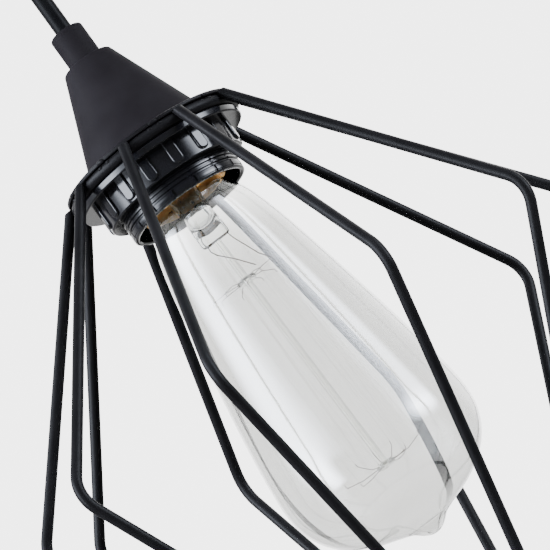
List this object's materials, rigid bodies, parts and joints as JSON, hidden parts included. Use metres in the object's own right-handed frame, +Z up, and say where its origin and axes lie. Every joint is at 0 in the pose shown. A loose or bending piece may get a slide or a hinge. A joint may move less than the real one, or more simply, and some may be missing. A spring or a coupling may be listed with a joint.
{
  "type": "pendant lamp",
  "caption": "Cage pendant lamp: a wire cage and clear filament bulb on a screw lampholder under a cone cap, hung by a short flex from a round ceiling canopy.",
  "frame": {"origin": "middle of the two ceiling fixing slots, on the ceiling plane at the bracket's top face", "axes": "+Z up into the ceiling, +X along the fixing bracket, -Y towards the side the picture is taken from"},
  "size_m": [0.1891, 0.1855, 0.2922],
  "materials": {
    "black_powder_coat": "satin to matte black powder coat",
    "black_phenolic": "glossy black moulded phenolic",
    "black_nylon": "satin black nylon",
    "black_flex": "smooth black PVC sheath",
    "black_screw": "black oxide",
    "zinc_plate": "bright zinc plate",
    "brass": "bare rolled brass",
    "steatite": "off-white moulded insulator",
    "terminal_plastic": "natural polyamide",
    "brown_insulation": "smooth insulation",
    "blue_insulation": "smooth insulation",
    "clear_glass": "clear blown glass",
    "black_vitrite": "black fused glass insulator",
    "solder": "tinned solder",
    "nickel_wire": "drawn nickel wire",
    "tungsten": "drawn tungsten wire"
  },
  "bodies": {
    "ceiling": {"ceiling_bracket": "zinc_plate", "canopy_cup": "black_powder_coat", "canopy_screws": "black_screw", "canopy_cord_grip": "black_nylon", "canopy_grip_nut": "zinc_plate", "canopy_grip_screw": "black_nylon", "terminal_block": "terminal_plastic", "terminal_barrels": "brass", "terminal_screws": "zinc_plate", "block_screw": "zinc_plate", "cord_tail": "black_flex", "canopy_live_core": "brown_insulation", "canopy_neutral_core": "blue_insulation"},
    "pendant": {"cord": "black_flex", "threaded_nipple": "zinc_plate", "nipple_nuts": "zinc_plate", "holder_top": "black_phenolic", "holder_body": "black_phenolic", "contact_carrier": "steatite", "screw_shell": "brass", "centre_contact": "brass", "holder_terminals": "brass", "holder_terminal_screws": "zinc_plate", "holder_live_core": "brown_insulation", "holder_neutral_core": "blue_insulation"},
    "cap": {"cone_cap": "black_powder_coat", "cord_grip": "black_powder_coat", "grip_set_screw": "black_screw"},
    "cage": {"collar_plate": "black_powder_coat", "cage_ring": "black_powder_coat", "bottom_ring": "black_powder_coat", "cage_wire_01": "black_powder_coat", "cage_wire_02": "black_powder_coat", "cage_wire_03": "black_powder_coat", "cage_wire_04": "black_powder_coat", "cage_wire_05": "black_powder_coat", "cage_wire_06": "black_powder_coat", "cage_wire_07": "black_powder_coat", "cage_wire_08": "black_powder_coat", "cage_wire_09": "black_powder_coat", "cage_wire_10": "black_powder_coat"},
    "ring": {"shade_ring": "black_phenolic"},
    "bulb": {"bulb_glass": "clear_glass", "bulb_cap": "brass", "bulb_cap_insulator": "black_vitrite", "bulb_tip_contact": "solder", "bulb_stem": "clear_glass", "lead_wires": "nickel_wire", "support_rod": "clear_glass", "upper_hub": "clear_glass", "lower_hub": "clear_glass", "upper_supports": "nickel_wire", "lower_supports": "nickel_wire", "filament": "tungsten"}
  },
  "joints": [
    {"name": "pendant_swing", "type": "hinge", "parent": "ceiling", "child": "pendant", "pos_m": [0, 0, -0.046], "axis": [0, 1, 0], "range_deg": [-20, 20]},
    {"name": "cap_lift", "type": "slide", "parent": "pendant", "child": "cap", "axis": [0, 0, 1], "range_m": [0, 0.02]},
    {"name": "cage_drop", "type": "slide", "parent": "pendant", "child": "cage", "axis": [0, 0, -1], "range_m": [0, 0.01197]},
    {"name": "ring_turn", "type": "hinge", "parent": "cage", "child": "ring", "pos_m": [0, 0, -0.126], "axis": [0, 0, -1], "range_deg": [0, 3240]},
    {"name": "bulb_out", "type": "slide", "parent": "pendant", "child": "bulb", "axis": [0, 0, -1], "range_m": [0, 0.187]}
  ],
  "couplings": [
    {"joint": "ring_turn", "follows": "cage_drop", "rad_per_m": 4724.2}
  ]
}
